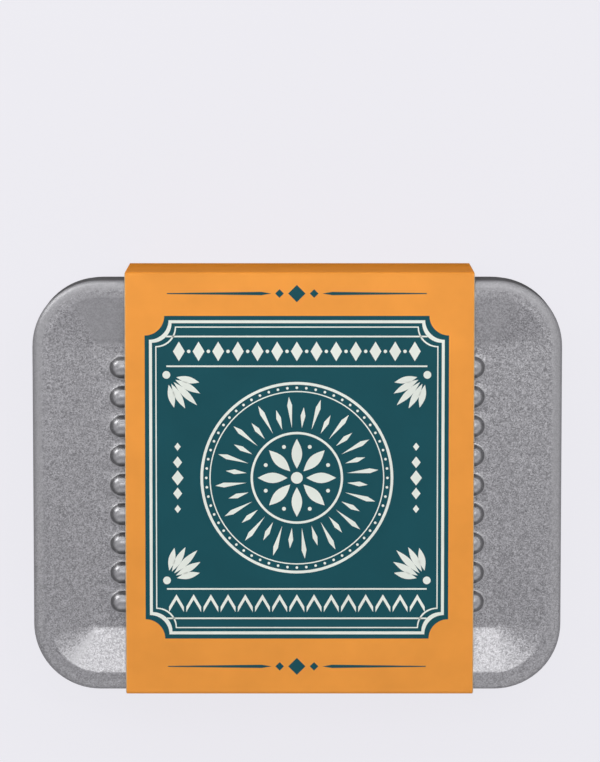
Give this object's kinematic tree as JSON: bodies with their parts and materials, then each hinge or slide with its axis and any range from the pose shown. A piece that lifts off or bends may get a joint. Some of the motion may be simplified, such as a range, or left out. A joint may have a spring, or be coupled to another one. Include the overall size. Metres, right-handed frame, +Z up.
{
  "type": "manicure set case",
  "caption": "Hinged pressed-metal tin with a ribbed lid inside a printed card band, holding scissors, nippers, tweezers and nail clippers in cut foam.",
  "frame": {"origin": "on the surface it lies on, under the middle of the tin", "axes": "+X along the hinge towards the small clipper, +Y towards the hinge, +Z up through the closed lid"},
  "size_m": [0.135, 0.1085, 0.032],
  "materials": {
    "speckled_tin": "speckled silver-grey satin lacquer on pressed sheet",
    "printed_card": "satin printed card, uncoated grey inside",
    "hinge_steel": "nickel-plated satin",
    "foam": "flocked black foam",
    "tool_steel": "satin stainless steel",
    "fastener_steel": "bright nickel"
  },
  "bodies": {
    "base": {"base_shell": "speckled_tin", "base_hinge_leaf": "hinge_steel", "base_hinge_rivets": "hinge_steel", "hinge_pin": "hinge_steel", "foam_lower_layer": "foam", "foam_upper_layer": "foam"},
    "band": {"card_band": "printed_card"},
    "lid": {"lid_shell": "speckled_tin", "lid_hinge_leaf": "hinge_steel", "lid_hinge_rivets": "hinge_steel"},
    "scissors": {"scissors_lower_half": "tool_steel", "scissors_screw": "fastener_steel"},
    "scissors_top": {"scissors_upper_half": "tool_steel"},
    "nippers": {"nippers_lower_half": "tool_steel", "nippers_lower_spring": "fastener_steel", "nippers_pin": "fastener_steel"},
    "nippers_top": {"nippers_upper_half": "tool_steel", "nippers_upper_spring": "fastener_steel"},
    "tweezers": {"tweezers_fixed_arm": "tool_steel"},
    "tweezers_top": {"tweezers_moving_arm": "tool_steel"},
    "large_clipper": {"large_clipper_lower_arm": "tool_steel", "large_clipper_tail_rivet": "fastener_steel", "large_clipper_post": "fastener_steel", "large_clipper_cross_pin": "fastener_steel"},
    "large_clipper_jaw": {"large_clipper_upper_arm": "tool_steel"},
    "large_clipper_handle": {"large_clipper_lever": "tool_steel"},
    "small_clipper": {"small_clipper_lower_arm": "tool_steel", "small_clipper_tail_rivet": "fastener_steel", "small_clipper_post": "fastener_steel", "small_clipper_cross_pin": "fastener_steel"},
    "small_clipper_jaw": {"small_clipper_upper_arm": "tool_steel"},
    "small_clipper_handle": {"small_clipper_lever": "tool_steel"}
  },
  "joints": [
    {"name": "band_slide", "type": "slide", "parent": "base", "child": "band", "axis": [1, 0, 0], "range_m": [0, 0.115]},
    {"name": "lid_hinge", "type": "hinge", "parent": "base", "child": "lid", "pos_m": [0, 0.0535, 0.0187], "axis": [-1, 0, 0], "range_deg": [0, 110], "deforming": ["card_band"]},
    {"name": "scissors_lift", "type": "slide", "parent": "base", "child": "scissors", "axis": [0, 0, 1], "range_m": [0, 0.006]},
    {"name": "nippers_lift", "type": "slide", "parent": "base", "child": "nippers", "axis": [0, 0, 1], "range_m": [0, 0.006]},
    {"name": "tweezers_lift", "type": "slide", "parent": "base", "child": "tweezers", "axis": [0, 0, 1], "range_m": [0, 0.006]},
    {"name": "large_clipper_lift", "type": "slide", "parent": "base", "child": "large_clipper", "axis": [0, 0, 1], "range_m": [0, 0.006]},
    {"name": "small_clipper_lift", "type": "slide", "parent": "base", "child": "small_clipper", "axis": [0, 0, 1], "range_m": [0, 0.006]},
    {"name": "scissors_open", "type": "hinge", "parent": "scissors", "child": "scissors_top", "pos_m": [-0.0083, -0.0007, 0.0192], "axis": [0, 0, -1], "range_deg": [0, 28]},
    {"name": "nippers_squeeze", "type": "hinge", "parent": "nippers", "child": "nippers_top", "pos_m": [0.015, 0.027, 0.0126], "axis": [0, 0, 1], "range_deg": [0, 12], "stiffness_Nm_per_rad": 0.3, "deforming": ["nippers_lower_spring", "nippers_upper_spring"]},
    {"name": "tweezers_squeeze", "type": "hinge", "parent": "tweezers", "child": "tweezers_top", "pos_m": [0.0402, -0.0424, 0.0129], "axis": [0, 0, 1], "range_deg": [0, 3.1], "stiffness_Nm_per_rad": 0.5},
    {"name": "large_clipper_press", "type": "hinge", "parent": "large_clipper", "child": "large_clipper_handle", "pos_m": [-0.046, -0.0158, 0.0108], "axis": [0, 0, -1], "range_deg": [0, 6]},
    {"name": "large_clipper_bite", "type": "hinge", "parent": "large_clipper", "child": "large_clipper_jaw", "pos_m": [0.009, -0.0249, 0.0108], "axis": [0, 0, 1], "range_deg": [0, 0.716]},
    {"name": "small_clipper_press", "type": "hinge", "parent": "small_clipper", "child": "small_clipper_handle", "pos_m": [0.053, -0.0265, 0.0118], "axis": [0, 0, -1], "range_deg": [0, 6]},
    {"name": "small_clipper_bite", "type": "hinge", "parent": "small_clipper", "child": "small_clipper_jaw", "pos_m": [0.0606, 0.012, 0.0118], "axis": [0, 0, 1], "range_deg": [0, 0.877]}
  ],
  "couplings": [
    {"joint": "large_clipper_bite", "follows": "large_clipper_press", "ratio": 0.11933},
    {"joint": "small_clipper_bite", "follows": "small_clipper_press", "ratio": 0.14617}
  ]
}
